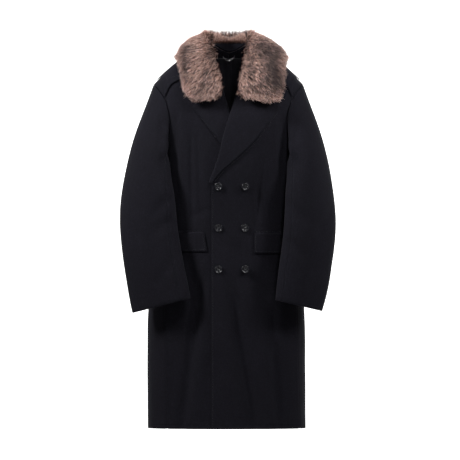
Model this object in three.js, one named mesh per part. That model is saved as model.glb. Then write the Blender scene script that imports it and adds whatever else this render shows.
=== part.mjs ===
import * as THREE from 'three';

// Double-breasted military coat with a fur collar, filled out as if it were worn, hollow inside.
// Millimetres, +Z up, the front faces -Y and the wearer's left is +X.
// The origin lies at the neck base, level with the points where neck and shoulder seams meet.

// Driving dimensions
const CLOTH = 2.6;            // felted wool, one layer
const LINING = 1.2;
const SEAM = 0.3;             // between two pieces that are sewn together
const LAYER = 0.6;            // between a piece and the one it lies on
const HEM_Z = -1096;
const ARMPIT_Z = -310;
const SHOULDER_Z = -114;
const SHOULDER_X = 214;
const NECK_X = 62;
const NECK_BACK_Y = 67;
const NECK_FRONT_Y = 70;
const SHOULDER_CURVE = 1.355; // how much steeper the shoulder is at its point than at the neck
const SQUARENESS = 2.3;       // exponent of the body's rounded sections
const EDGE_X = -48.5;         // front edge of the fastened front, which lies on top
const UNDER_EDGE_X = 71;      // front edge of the front beneath
const BREAK_Z = -396;         // where the lapels start to roll back
const SLEEVE_CLEAR = 4;       // between a sleeve and the body it rests against
const LAPEL_SPRING = 1.4;     // a lapel springs this far off its front
const STRAP_EASE = 1.1;       // and a shoulder strap this far off the shoulder
const LINING_EASE = 2.2;      // the lining hangs this far inside the back
const PLEAT_RISE = 1.5;       // the pleat in the lining's middle stands this far inside it
const STAND_HEIGHT = 27;
const STAND_HEIGHT_SIDE = 11;
const BUTTON_RADIUS = 11.4;
const BUTTON_THICK = 4;

// Sections of the body: half width, centre, and depth of front and back from the shoulder line
const SECTIONS = [
  { z: -1096, half: 228, centre: -4, front: 130, back: 134 },
  { z: -950, half: 228, centre: -5, front: 126, back: 127 },
  { z: -800, half: 227.5, centre: -5, front: 122, back: 118 },
  { z: -650, half: 217, centre: -4, front: 119, back: 108 },
  { z: -520, half: 207, centre: -2, front: 118, back: 100 },
  { z: -430, half: 205, centre: 0, front: 122, back: 105 },
  { z: -310, half: 208, centre: 1, front: 128, back: 118 },
  { z: -200, half: 215, centre: 1, front: 121, back: 120 },
  { z: -114, half: 214, centre: 1, front: 103, back: 108 },
  { z: -80, half: 214, centre: 1, front: 90, back: 98 },
  { z: -46, half: 214, centre: 2, front: 70, back: 84 },
  { z: -20, half: 214, centre: 3, front: 47, back: 66 },
  { z: 0, half: 214, centre: 4, front: 20, back: 57 },
];

// Soft troughs in the cloth, each from its top end to its bottom end
const FRONT_FOLDS = [
  { topX: -106, topZ: -170, bottomX: -104, bottomZ: -500, width: 22, depth: 6 },
  { topX: 98, topZ: -270, bottomX: 84, bottomZ: -560, width: 20, depth: 4 },
  { topX: -112, topZ: -640, bottomX: -162, bottomZ: -1150, width: 27, depth: 12 },
  { topX: 26, topZ: -720, bottomX: 92, bottomZ: -1150, width: 30, depth: 9 },
  { topX: 82, topZ: -600, bottomX: 134, bottomZ: -840, width: 22, depth: 6 },
];
const BACK_FOLDS = [
  { topX: -128, topZ: -180, bottomX: -116, bottomZ: -560, width: 34, depth: 6 },
  { topX: 132, topZ: -190, bottomX: 112, bottomZ: -540, width: 33, depth: 6 },
  { topX: -62, topZ: -560, bottomX: -96, bottomZ: -1160, width: 32, depth: 10 },
  { topX: 88, topZ: -610, bottomX: 128, bottomZ: -1150, width: 30, depth: 11 },
];

// Roll lines, on which the lapels turn back: the left front's and the right front's
const ROLL_LEFT = [
  { z: -396, x: -48.5 }, { z: -368, x: -39 }, { z: -333, x: -25.6 }, { z: -262, x: -8.5 },
  { z: -216, x: 5.7 }, { z: -171, x: 20 }, { z: -130, x: 32 }, { z: -74, x: 47 },
  { z: -25, x: 57 }, { z: 0, x: 66 },
];
const ROLL_RIGHT = [
  { z: -396, x: 71 }, { z: -333, x: 47 }, { z: -262, x: 22 }, { z: -214, x: 5.7 },
  { z: -157, x: -11.4 }, { z: -110, x: -25 }, { z: -74, x: -34 }, { z: -25, x: -49 }, { z: 0, x: -58 },
];

// Outer edges of the lapels, from the break (along 0) to the peak (along 1)
const LAPEL_EDGE_LEFT = [
  { along: 0, x: -45, z: -398 }, { along: 0.1, x: -34, z: -379 }, { along: 0.22, x: -14, z: -357 },
  { along: 0.35, x: 9, z: -339 }, { along: 0.55, x: 54, z: -299 }, { along: 0.7, x: 83, z: -268 },
  { along: 0.85, x: 114, z: -228 }, { along: 1, x: 151, z: -175 },
];
const LAPEL_EDGE_RIGHT = [
  { along: 0, x: 67, z: -398 }, { along: 0.25, x: 30, z: -350 }, { along: 0.55, x: -23, z: -283 },
  { along: 0.8, x: -66, z: -225 }, { along: 1, x: -101, z: -180 },
];
const LAPEL_TOP_Z = -105;     // the lapels' upper end on the roll line, under the fur

// Armhole, from the armpit (up 0) to the shoulder point (up 1)
const ARMHOLE = [
  { up: 0, front: 190, back: 192 }, { up: 0.12, front: 174, back: 186 },
  { up: 0.3, front: 169, back: 183 }, { up: 0.5, front: 167, back: 184 },
  { up: 0.7, front: 173, back: 190 }, { up: 0.85, front: 188, back: 200 },
  { up: 0.95, front: 204, back: 208 }, { up: 1, front: 214, back: 214 },
];

// Side seams of the body below the armhole, as distances from the body's centre
const SIDE_SEAMS = {
  right: [{ z: -1096, front: 170, back: 176 }, { z: -600, front: 180, back: 178 },
    { z: -310, front: 190, back: 192 }],
  left: [{ z: -1096, front: 209, back: 176 }, { z: -600, front: 196, back: 178 },
    { z: -310, front: 190, back: 192 }],
};

// Sleeve rings below the armhole: reach is the centre's distance from the middle, broad and deep
// are the half axes, turn swings the inner end forward, and tilt lifts the outer side
const SLEEVE_RINGS = {
  right: [
    { z: -330, reach: 220, y: -44, broad: 79, deep: 56, turn: 65, tilt: 0.24 },
    { z: -372, reach: 225, y: -54, broad: 83, deep: 54, turn: 54, tilt: 0.18 },
    { z: -416, reach: 227, y: -66, broad: 87, deep: 51, turn: 42, tilt: 0.12 },
    { z: -466, reach: 228, y: -74, broad: 88, deep: 48, turn: 32, tilt: 0.06 },
    { z: -516, reach: 226.5, y: -82, broad: 87, deep: 45, turn: 25, tilt: 0 },
    { z: -566, reach: 221, y: -90, broad: 86, deep: 41, turn: 21, tilt: -0.07 },
    { z: -616, reach: 213.5, y: -98, broad: 86, deep: 37, turn: 18, tilt: -0.12 },
    { z: -660, reach: 206, y: -105, broad: 85, deep: 33, turn: 16, tilt: -0.17 },
    { z: -701, reach: 198, y: -110, broad: 85, deep: 30, turn: 14, tilt: -0.22 },
    { z: -745, reach: 189.5, y: -116, broad: 83, deep: 27, turn: 12, tilt: -0.26 },
  ],
  left: [
    { z: -330, reach: 223, y: -44, broad: 79, deep: 54, turn: 69, tilt: 0.24 },
    { z: -372, reach: 229, y: -54, broad: 82, deep: 52, turn: 60, tilt: 0.18 },
    { z: -416, reach: 231, y: -64, broad: 84, deep: 50, turn: 50, tilt: 0.12 },
    { z: -466, reach: 234, y: -72, broad: 84, deep: 48, turn: 41, tilt: 0.06 },
    { z: -516, reach: 234.5, y: -80, broad: 83, deep: 46, turn: 35, tilt: 0 },
    { z: -566, reach: 230, y: -87, broad: 82, deep: 43, turn: 32, tilt: -0.06 },
    { z: -616, reach: 223, y: -94, broad: 81, deep: 40, turn: 30, tilt: -0.11 },
    { z: -660, reach: 216.5, y: -100, broad: 80, deep: 37, turn: 29, tilt: -0.16 },
    { z: -701, reach: 210, y: -106, broad: 78, deep: 34, turn: 29, tilt: -0.2 },
    { z: -745, reach: 201, y: -112, broad: 73, deep: 31, turn: 29, tilt: -0.24 },
  ],
};
const SLEEVE_SEAM_FRONT = 122;  // where the two seams run round the sleeve, from its outer side
const SLEEVE_SEAM_BACK = -75;

// Fur collar from the tip of a wing to the centre back: its inner and outer edge and its height
const FUR_STATIONS = [
  { inX: 40, inY: -112, inZ: -158, outX: 96, outY: -112, outZ: -168, height: 14 },
  { inX: 27, inY: -112, inZ: -142, outX: 124, outY: -98, outZ: -154, height: 26 },
  { inX: 28, inY: -108, inZ: -112, outX: 137, outY: -85, outZ: -126, height: 33 },
  { inX: 38, inY: -92, inZ: -72, outX: 142, outY: -66, outZ: -92, height: 35 },
  { inX: 52, inY: -58, inZ: -20, outX: 146, outY: -40, outZ: -62, height: 35 },
  { inX: 62, inY: -12, inZ: 16, outX: 150, outY: 0, outZ: -50, height: 32 },
  { inX: 56, inY: 30, inZ: 14, outX: 138, outY: 48, outZ: -62, height: 32 },
  { inX: 33, inY: 62, inZ: 10, outX: 88, outY: 92, outZ: -96, height: 32 },
  { inX: 0, inY: 71, inZ: 10, outX: 0, outY: 112, outZ: -112, height: 32 },
];
const FUR_SHIFT = { front: 11, back: 4 };

// Pocket flaps, on the wearer's right and left
const FLAPS = [
  { name: 'flap_right', inTopX: -68, inBottomX: -59, outX: -199, topZ: -536, bottomZ: -592 },
  { name: 'flap_left', inTopX: 74, inBottomX: 74, outX: 203, topZ: -538, bottomZ: -597 },
];

const BUTTON_COLUMNS = [-27, 48.5];
const BUTTON_ROWS = [-406, -524, -642];

// Materials
const wool = () => new THREE.MeshStandardMaterial({ color: 0x1c1b20, roughness: 0.95, metalness: 0 });
const liningCloth = new THREE.MeshStandardMaterial({ color: 0x17161b, roughness: 0.5, metalness: 0 });
const fur = new THREE.MeshStandardMaterial({ color: 0x9a7a70, roughness: 1, metalness: 0 });
const horn = new THREE.MeshStandardMaterial({ color: 0x2c2c31, roughness: 0.35, metalness: 0 });
const steel = new THREE.MeshStandardMaterial({ color: 0xc8c8cc, roughness: 0.25, metalness: 1 });

const coat = new THREE.Group();
const vec = (x, y, z) => new THREE.Vector3(x, y, z);
const mix = (a, b, t) => a + (b - a) * t;
const clamp = (v, low, high) => Math.min(high, Math.max(low, v));
const smooth = (v, from, to) => {
  const t = clamp((v - from) / (to - from), 0, 1);
  return t * t * (3 - 2 * t);
};
const steps = (from, to, count) => Array.from({ length: count + 1 }, (_, i) => mix(from, to, i / count));

// A smooth value between the rows of a table, whose column `by` rises or falls all the way
function lookUp(table, by, key, value) {
  const rising = table[table.length - 1][by] > table[0][by];
  const rows = rising ? table : [...table].reverse();
  const at = clamp(value, rows[0][by], rows[rows.length - 1][by]);
  let i = 0;
  while (i < rows.length - 2 && rows[i + 1][by] < at) i += 1;
  const slope = (j) => {
    const low = rows[Math.max(j - 1, 0)];
    const high = rows[Math.min(j + 1, rows.length - 1)];
    return (high[key] - low[key]) / (high[by] - low[by]);
  };
  const span = rows[i + 1][by] - rows[i][by];
  const t = (at - rows[i][by]) / span;
  const a = rows[i][key];
  const b = rows[i + 1][key];
  const rise = b - a;
  const flat = rise === 0;
  const startSlope = flat ? 0 : slope(i) * span;
  const endSlope = flat ? 0 : slope(i + 1) * span;
  return a + rise * t * t * (3 - 2 * t) + startSlope * t * (1 - t) ** 2 - endSlope * t * t * (1 - t);
}

// Shoulder line: height at a distance from the middle, and the other way round
const shoulderZ = (x) => SHOULDER_Z * ((x - NECK_X) / (SHOULDER_X - NECK_X)) ** SHOULDER_CURVE;
const shoulderReach = (z) => NECK_X + (SHOULDER_X - NECK_X) * (z / SHOULDER_Z) ** (1 / SHOULDER_CURVE);

function section(z) {
  const at = clamp(z, HEM_Z, 0);
  const half = at > SHOULDER_Z ? shoulderReach(at) : lookUp(SECTIONS, 'z', 'half', at);
  return {
    half,
    centre: lookUp(SECTIONS, 'z', 'centre', at),
    front: lookUp(SECTIONS, 'z', 'front', at),
    back: lookUp(SECTIONS, 'z', 'back', at),
  };
}

// How far a point lies outside the body, as a fraction of the body's size, and the way out of it
function outside(p) {
  const s = section(p.z);
  const depth = p.y < 0 ? s.front : s.back;
  const wide = Math.abs((p.x - s.centre) / s.half) ** SQUARENESS;
  const deep = Math.abs(p.y / depth) ** SQUARENESS;
  return (wide + deep) ** (1 / SQUARENESS) - 1;
}
function wayOut(p) {
  const h = 0.5;
  const dx = outside(vec(p.x + h, p.y, p.z)) - outside(vec(p.x - h, p.y, p.z));
  const dy = outside(vec(p.x, p.y + h, p.z)) - outside(vec(p.x, p.y - h, p.z));
  const dz = outside(vec(p.x, p.y, p.z + h)) - outside(vec(p.x, p.y, p.z - h));
  return vec(dx, dy, dz).divideScalar(2 * h);
}
const normalAt = (p) => wayOut(p).normalize();

// Moves a point along the way out until it is `gap` from the body; `only` moves no point inwards
function lift(point, gap, outwardsOnly) {
  const p = point.clone();
  for (let i = 0; i < 14; i += 1) {
    const gradient = wayOut(p);
    const distance = outside(p) / gradient.length();
    if (outwardsOnly && distance >= gap) break;
    p.addScaledVector(gradient.normalize(), (gap - distance) * 0.8);
  }
  return p;
}

// Moves a point that lies too near the body straight out from the body's upright middle
function pushOut(point, gap) {
  const p = point.clone();
  const centre = section(p.z).centre;
  const way = vec(p.x - centre, p.y, 0).normalize();
  for (let i = 0; i < 14; i += 1) {
    const gradient = wayOut(p);
    const short = gap - outside(p) / gradient.length();
    if (short <= 0 && i === 0) break;
    p.addScaledVector(way, short);
  }
  return p;
}

// Depth of the folds at a place on the front or back
function foldAt(x, z, onFront) {
  let depth = 0;
  for (const f of onFront ? FRONT_FOLDS : BACK_FOLDS) {
    const along = (z - f.topZ) / (f.bottomZ - f.topZ);
    const middle = mix(f.topX, f.bottomX, along);
    const across = (x - middle) / f.width;
    const fade = smooth(along, 0, 0.35) * (1 - smooth(along, 0.75, 1));
    depth += f.depth * fade * Math.exp(-across * across);
  }
  return depth;
}

// A point on the body's cloth, moved out by `off`, from its place on the bare form
function onCloth(x, y, z, off) {
  const bare = vec(x, y, z);
  return bare.addScaledVector(normalAt(bare), off - foldAt(x, z, y < 0));
}
function depthAt(x, z, onFront) {
  const s = section(z);
  const rest = Math.max(0, 1 - Math.abs((x - s.centre) / s.half) ** SQUARENESS);
  const depth = rest ** (1 / SQUARENESS);
  return onFront ? -s.front * depth : s.back * depth;
}
const onPanel = (x, z, onFront, off) => onCloth(x, depthAt(x, z, onFront), z, off);
// The same, by an angle round the body from its centre front (0) or back (180 degrees)
function roundBody(angle, z) {
  const s = section(z);
  const power = 2 / SQUARENESS;
  const a = THREE.MathUtils.degToRad(angle);
  const wide = Math.sign(Math.sin(a)) * Math.abs(Math.sin(a)) ** power;
  const deep = Math.sign(Math.cos(a)) * Math.abs(Math.cos(a)) ** power;
  return vec(s.centre + s.half * wide, -(deep > 0 ? s.front : s.back) * deep, z);
}
function angleOf(distance, z) {
  const share = clamp(distance / section(z).half, -1, 1);
  return THREE.MathUtils.radToDeg(Math.asin(Math.sign(share) * Math.abs(share) ** (SQUARENESS / 2)));
}
// Height of the bare form above a place in plan
function heightOver(x, y) {
  let low = -400;
  let high = 0;
  for (let i = 0; i < 40; i += 1) {
    const middle = (low + high) / 2;
    if (outside(vec(x, y, middle)) < 0) low = middle;
    else high = middle;
  }
  return (low + high) / 2;
}

// Closed wall between an outer and an inner grid of points, rows by columns
function wall(name, material, outer, inner) {
  const rows = outer.length;
  const columns = outer[0].length;
  const positions = [outer, inner].flat(2).flatMap((p) => [p.x, p.y, p.z]);
  const at = (r, c) => r * columns + c;
  const under = (r, c) => rows * columns + at(r, c);
  const index = [];
  const quad = (a, b, c, d) => index.push(a, b, c, a, c, d);
  for (let r = 0; r < rows - 1; r += 1) {
    for (let c = 0; c < columns - 1; c += 1) {
      quad(at(r, c), at(r, c + 1), at(r + 1, c + 1), at(r + 1, c));
      quad(under(r, c), under(r + 1, c), under(r + 1, c + 1), under(r, c + 1));
    }
    quad(at(r, 0), at(r + 1, 0), under(r + 1, 0), under(r, 0));
    quad(at(r + 1, columns - 1), at(r, columns - 1), under(r, columns - 1), under(r + 1, columns - 1));
  }
  for (let c = 0; c < columns - 1; c += 1) {
    quad(at(0, c + 1), at(0, c), under(0, c), under(0, c + 1));
    quad(at(rows - 1, c), at(rows - 1, c + 1), under(rows - 1, c + 1), under(rows - 1, c));
  }
  addMesh(name, material, positions, index);
}

// Closed body through rings of points, with a flat fan at each end
function loft(name, material, rings) {
  const count = rings[0].length;
  const positions = rings.flat().flatMap((p) => [p.x, p.y, p.z]);
  const index = [];
  for (let r = 0; r < rings.length - 1; r += 1) {
    for (let i = 0; i < count; i += 1) {
      const j = (i + 1) % count;
      const a = r * count;
      index.push(a + i, a + j, a + count + j, a + i, a + count + j, a + count + i);
    }
  }
  for (const [r, turn] of [[0, 1], [rings.length - 1, -1]]) {
    const middle = rings[r].reduce((sum, p) => sum.add(p), vec(0, 0, 0)).divideScalar(count);
    const centre = positions.length / 3;
    positions.push(middle.x, middle.y, middle.z);
    for (let i = 0; i < count; i += 1) {
      const a = r * count + i;
      const b = r * count + ((i + 1) % count);
      index.push(centre, turn > 0 ? b : a, turn > 0 ? a : b);
    }
  }
  addMesh(name, material, positions, index);
}

function addMesh(name, material, positions, index) {
  let volume = 0;
  const corner = (i) => vec(positions[3 * i], positions[3 * i + 1], positions[3 * i + 2]);
  for (let i = 0; i < index.length; i += 3) {
    volume += corner(index[i]).dot(corner(index[i + 1]).cross(corner(index[i + 2])));
  }
  if (volume < 0) index.reverse();
  const geometry = new THREE.BufferGeometry();
  geometry.setAttribute('position', new THREE.Float32BufferAttribute(positions, 3));
  geometry.setIndex(index);
  geometry.computeVertexNormals();
  const mesh = new THREE.Mesh(geometry, material);
  mesh.name = name;
  coat.add(mesh);
}

// Two grids of one wall from a function of row and column that gives a point at an offset
function panel(name, material, rows, columns, place, thickness = CLOTH) {
  const outer = rows.map((r) => columns.map((c) => place(r, c, 0)));
  const inner = rows.map((r) => columns.map((c) => place(r, c, -thickness)));
  wall(name, material, outer, inner);
}

// Fronts and backs. A row is {z} below the armhole, or {up}, from 0 at the armpit to 1 at the shoulder.
const SKIRT_ROWS = [...steps(HEM_Z, -640, 10), ...steps(-600, -340, 6)].map((z) => ({ z }));
const CHEST_ROWS = [0, 0.14, 0.28, 0.42, 0.56, 0.69, 0.8, 0.89, 0.95, 0.985, 1].map((up) => ({ up }));
const BODY_ROWS = [...SKIRT_ROWS, ...CHEST_ROWS];
const SHOULDER_SEAM_Y = SEAM / 2;

const seamX = (side, key, z) => lookUp(SIDE_SEAMS[side], 'z', key, z);
const armholeX = (key, up) => lookUp(ARMHOLE, 'up', key, up);

// The fastened front lies over the other one, and above the break over that one's lapel too
function leftFrontLift(x, z) {
  const overOne = CLOTH + LAYER;
  const overTwo = 2 * CLOTH + LAPEL_SPRING + 2 * LAYER;
  const layers = mix(mix(overOne, overTwo, smooth(z, -450, -402)), 0, smooth(z, -225, -90));
  return layers * (1 - smooth(x, 76, 150));
}
// The front beneath keeps a little further in where the other one covers it
const rightFrontLift = (x) => -2 * smooth(x, -52, -14);

const frontEdge = {
  left: (z) => (z < BREAK_Z ? EDGE_X : lookUp(ROLL_LEFT, 'z', 'x', z)),
  right: (z) => (z < BREAK_Z ? UNDER_EDGE_X : lookUp(ROLL_RIGHT, 'z', 'x', z)),
};

function frontPanel(side) {
  const sign = side === 'left' ? 1 : -1;
  const columns = [0, 0.08, 0.17, 0.27, 0.38, 0.5, 0.62, 0.74, 0.86, 1];
  const place = (row, column, off) => {
    let z;
    let x;
    if (row.up === undefined) {
      z = row.z;
      const seam = section(z).centre + sign * (seamX(side, 'front', z) - SEAM / 2);
      x = mix(frontEdge[side](z), seam, column);
    } else {
      const edgeZ = mix(ARMPIT_Z, 0, row.up);
      const topX = mix(frontEdge[side](0), section(SHOULDER_Z).centre + sign * SHOULDER_X, column);
      const reach = Math.abs(topX - section(shoulderZ(NECK_X + column * (SHOULDER_X - NECK_X))).centre);
      const topZ = shoulderZ(clamp(reach, NECK_X, SHOULDER_X));
      z = mix(ARMPIT_Z, topZ, row.up);
      const centre = section(z).centre;
      x = mix(frontEdge[side](edgeZ), centre + sign * armholeX('front', row.up), column);
    }
    const layer = side === 'left' ? leftFrontLift(x, z) : rightFrontLift(x);
    const p = onPanel(x, z, true, off + layer);
    if (row.up === 1) p.y = -SHOULDER_SEAM_Y;
    return p;
  };
  panel(`front_${side}`, wool(), BODY_ROWS, columns, place);
}

// Neckline, from the centre back (0 degrees) round to the side (90) and forward
function neckline(angle) {
  const a = THREE.MathUtils.degToRad(angle);
  const y = (Math.cos(a) > 0 ? NECK_BACK_Y : NECK_FRONT_Y) * Math.cos(a);
  const x = section(0).centre + NECK_X * Math.sin(a);
  return vec(x, y, heightOver(x, y));
}

function backPanel(side) {
  const sign = side === 'left' ? 1 : -1;
  const neckAngles = [0, 20, 42, 66, 90];
  const shoulderSteps = [0.2, 0.42, 0.64, 0.84, 1];
  const tops = [
    ...neckAngles.map((angle) => neckline(sign * angle)),
    ...shoulderSteps.map((t) => {
      const reach = mix(NECK_X, SHOULDER_X, t);
      const z = shoulderZ(reach);
      return vec(section(z).centre + sign * reach, 0, z);
    }),
  ];
  const shares = tops.map((p) => Math.abs((p.x - section(p.z).centre) / SHOULDER_X));
  const place = (row, column, off) => {
    const share = shares[column];
    if (row.up === undefined) {
      const centre = section(row.z).centre;
      const seam = seamX(side, 'back', row.z) - SEAM / 2;
      return onPanel(centre + sign * mix(SEAM / 2, seam, share), row.z, false, off);
    }
    const top = tops[column];
    const z = mix(ARMPIT_Z, top.z, row.up);
    const centre = section(z).centre;
    const armpitX = mix(SEAM / 2, armholeX('back', 0), share);
    const hollow = armholeX('back', row.up) - mix(armholeX('back', 0), SHOULDER_X, row.up);
    const reach = mix(armpitX, Math.max(SEAM / 2, share * SHOULDER_X), row.up) + hollow * share * share;
    const p = onPanel(centre + sign * reach, z, false, off);
    if (row.up === 1 && column >= neckAngles.length - 1) p.y = SHOULDER_SEAM_Y;
    return p;
  };
  panel(`back_${side}`, wool(), BODY_ROWS, tops.map((_, i) => i), place);
}

// Side pieces, from the front side seam round under the arm to the back side seam
function sidePanel(side) {
  const sign = side === 'left' ? 1 : -1;
  const rows = [...SKIRT_ROWS.map((row) => row.z), ARMPIT_Z];
  const columns = [0, 0.2, 0.4, 0.6, 0.8, 1];
  const place = (z, column, off) => {
    const from = angleOf(seamX(side, 'front', z) + SEAM / 2, z);
    const to = 180 - angleOf(seamX(side, 'back', z) + SEAM / 2, z);
    const p = roundBody(sign * mix(from, to, column), z);
    return onCloth(p.x, p.y, p.z, off);
  };
  panel(`side_${side}`, wool(), rows, columns, place);
}

// A strip under the centre back seam, behind the vent that lets the wearer stride
function ventUnderlap() {
  const rows = steps(HEM_Z + 3, -690, 8);
  const columns = steps(-14, 34, 3);
  const place = (z, x, off) => onPanel(section(z).centre + x, z, false, off - CLOTH - LAYER);
  panel('vent_underlap', wool(), rows, columns, place);
}

// Lapels lie on their front and turn round its roll line
function lapel(side) {
  const sign = side === 'left' ? 1 : -1;
  const roll = side === 'left' ? ROLL_LEFT : ROLL_RIGHT;
  const edge = side === 'left' ? LAPEL_EDGE_LEFT : LAPEL_EDGE_RIGHT;
  const rows = [0, 0.07, 0.15, 0.24, 0.34, 0.45, 0.56, 0.67, 0.78, 0.89, 1];
  const flatColumns = [0, 0.2, 0.4, 0.6, 0.8, 1];
  const turns = [-8, 25, 58];
  const spread = LAPEL_SPRING + CLOTH / 2;
  const layerAt = (x, z) => (side === 'left' ? leftFrontLift(x, z) : rightFrontLift(x));
  const make = (depth) => rows.map((row) => {
    const rollZ = mix(BREAK_Z, LAPEL_TOP_Z, row);
    const rollX = lookUp(roll, 'z', 'x', rollZ);
    const edgeX = lookUp(edge, 'along', 'x', row);
    const edgeZ = lookUp(edge, 'along', 'z', row);
    const fold = onPanel(rollX, rollZ, true, layerAt(rollX, rollZ) - CLOTH / 2);
    const normal = normalAt(vec(rollX, depthAt(rollX, rollZ, true), rollZ));
    const along = vec(lookUp(roll, 'z', 'x', rollZ + 5) - lookUp(roll, 'z', 'x', rollZ - 5), 0, 10);
    const away = along.cross(normal).normalize();
    if (away.x * sign > 0) away.negate();
    const radius = spread + CLOTH - depth;
    const curled = turns.map((degrees) => {
      const a = THREE.MathUtils.degToRad(degrees);
      const risen = fold.clone().addScaledVector(normal, radius * Math.sin(a));
      return risen.addScaledVector(away, radius * Math.cos(a));
    });
    const flat = flatColumns.map((column) => {
      const x = mix(rollX, edgeX, column);
      const z = mix(rollZ, edgeZ, column);
      return onPanel(x, z, true, layerAt(x, z) + LAPEL_SPRING + CLOTH - depth);
    });
    return [...curled, ...flat];
  });
  wall(`lapel_${side}`, wool(), make(0), make(CLOTH));
}

// Sleeves: rings from the armhole down to the cuff, on a two-piece cut
function armholePoint(sign, angle) {
  const onFront = angle >= 0 && angle <= 180;
  const key = onFront ? 'front' : 'back';
  const turned = Math.abs(angle > 180 ? angle - 360 : angle);
  const bottomStart = 140;
  if (turned <= bottomStart) {
    const up = 0.5 + 0.5 * Math.cos(THREE.MathUtils.degToRad((turned / bottomStart) * 180));
    const z = mix(ARMPIT_Z, SHOULDER_Z, up);
    const x = section(z).centre + sign * armholeX(key, up);
    const y = up >= 1 ? 0 : depthAt(x, z, onFront);
    return vec(x, y, z);
  }
  const across = (turned - bottomStart) / (180 - bottomStart);
  const seamAngle = angleOf(armholeX(key, 0), ARMPIT_Z);
  const from = onFront ? seamAngle : 180 - seamAngle;
  return roundBody(sign * mix(from, 90, across), ARMPIT_Z);
}

function ringPoint(sign, ring, angle) {
  const turn = THREE.MathUtils.degToRad(ring.turn);
  const a = THREE.MathUtils.degToRad(angle) + turn;
  const outward = ring.broad * Math.cos(a) * Math.cos(turn) + ring.deep * Math.sin(a) * Math.sin(turn);
  const backward = ring.broad * Math.cos(a) * Math.sin(turn) - ring.deep * Math.sin(a) * Math.cos(turn);
  return vec(sign * (ring.reach + outward), ring.y + backward, ring.z + ring.tilt * outward);
}

const CAP_STEPS = [0, 0.12, 0.3, 0.5, 0.74];

function sleevePoint(side, row, angle) {
  const sign = side === 'left' ? 1 : -1;
  const rings = SLEEVE_RINGS[side];
  let p;
  if (row >= CAP_STEPS.length) {
    p = ringPoint(sign, rings[row - CAP_STEPS.length], angle);
  } else {
    const t = CAP_STEPS[row];
    const a = THREE.MathUtils.degToRad(angle);
    const wrap = smooth(angle, 60, 105) * (1 - smooth(angle, 150, 178));
    const seamPoint = armholePoint(sign, (angle + 360) % 360);
    seamPoint.x += sign * mix(SEAM, SLEEVE_CLEAR / 2, smooth(Math.abs(angle), 95, 140));
    const start = seamPoint.lerp(pushOut(seamPoint, SLEEVE_CLEAR), wrap);
    const end = ringPoint(sign, rings[0], angle);
    const next = ringPoint(sign, rings[1], angle);
    const length = start.distanceTo(end);
    const top = 0.5 + 0.5 * Math.cos(a);
    const leave = vec(
      sign * mix(mix(0.9, 0.3, top), -0.55, wrap),
      mix(-0.25 * Math.sin(a), -1.1, wrap),
      mix(mix(-0.35, -0.95, top), -0.3, wrap),
    );
    const arrive = next.sub(end).normalize();
    const curve = new THREE.CubicBezierCurve3(
      start,
      start.clone().addScaledVector(leave.normalize(), length / 3),
      end.clone().addScaledVector(arrive, -length / 3),
      end,
    );
    p = curve.getPoint(t);
    if (t === 0) return p;
  }
  const overFlap = CLOTH + LAYER;
  const gap = SLEEVE_CLEAR + overFlap * smooth(p.z, -640, -610) * (1 - smooth(p.z, -520, -490));
  return pushOut(p, gap);
}

function sleeve(side) {
  const rowCount = CAP_STEPS.length + SLEEVE_RINGS[side].length;
  const rows = steps(0, rowCount - 1, rowCount - 1);
  const hairline = 0.55;
  const halves = [
    { name: 'top', angles: steps(SLEEVE_SEAM_BACK + hairline, SLEEVE_SEAM_FRONT - hairline, 11) },
    { name: 'under', angles: steps(SLEEVE_SEAM_FRONT + hairline, 360 + SLEEVE_SEAM_BACK - hairline, 12) },
  ];
  const wrapped = (row, angle) => sleevePoint(side, row, ((angle + 540) % 360) - 180);
  const h = 3;
  for (const half of halves) {
    const outer = rows.map((row) => half.angles.map((angle) => wrapped(row, angle)));
    const inner = rows.map((row, r) => half.angles.map((angle, c) => {
      const before = r > 0 ? outer[r - 1][c] : outer[r][c];
      const after = r < rows.length - 1 ? outer[r + 1][c] : outer[r][c];
      const last = half.angles.length - 1;
      const seam = angle + (c === 0 ? -hairline : 0) + (c === last ? hairline : 0);
      const round = wrapped(row, seam + h).sub(wrapped(row, seam - h));
      const normal = round.cross(after.clone().sub(before)).normalize();
      const sign = side === 'left' ? 1 : -1;
      return outer[r][c].clone().addScaledVector(normal, sign * CLOTH);
    }));
    wall(`sleeve_${side}_${half.name}`, wool(), outer, inner);
  }
}

// Pocket flaps lie on the fronts and reach round to the sides
function flap(spec) {
  const angleAt = (x, z) => angleOf(x - section(z).centre, z);
  const rows = [0, 0.33, 0.67, 1];
  const columns = steps(0, 1, 8);
  const place = (row, column, off) => {
    const z = mix(spec.topZ, spec.bottomZ, row);
    const inner = angleAt(mix(spec.inTopX, spec.inBottomX, row), z);
    const outer = angleAt(spec.outX, z);
    const p = roundBody(mix(inner, outer, column), z);
    const layer = spec.outX > 0 ? leftFrontLift(p.x, z) : 0;
    return onCloth(p.x, p.y, z, off + layer + LAYER + CLOTH);
  };
  panel(spec.name, wool(), rows, columns, place);
}

// Shoulder straps lie across the front half of each shoulder, under the collar at their inner end
function epaulette(side) {
  const sign = side === 'left' ? 1 : -1;
  const centre = section(SHOULDER_Z).centre;
  const outBack = { x: 202, y: 10 };
  const outFront = { x: 180, y: -70 };
  const inBack = { x: 112, y: 14 };
  const inFront = { x: 112, y: -86 };
  const rows = [0, 0.17, 0.33, 0.5, 0.67, 0.83, 1];
  const columns = [0, 0.15, 0.3, 0.44, 0.57, 0.69, 0.8, 0.9, 1];
  const place = (row, column, off) => {
    const across = (key) => {
      const behind = mix(outBack[key], inBack[key], row);
      const before = mix(outFront[key], inFront[key], row);
      return mix(behind, before, column);
    };
    const x = centre + sign * across('x');
    const y = across('y');
    return lift(vec(x, y, heightOver(x, y)), off + STRAP_EASE + CLOTH, false);
  };
  panel(`epaulette_${side}`, wool(), rows, columns, place);
}

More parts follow.
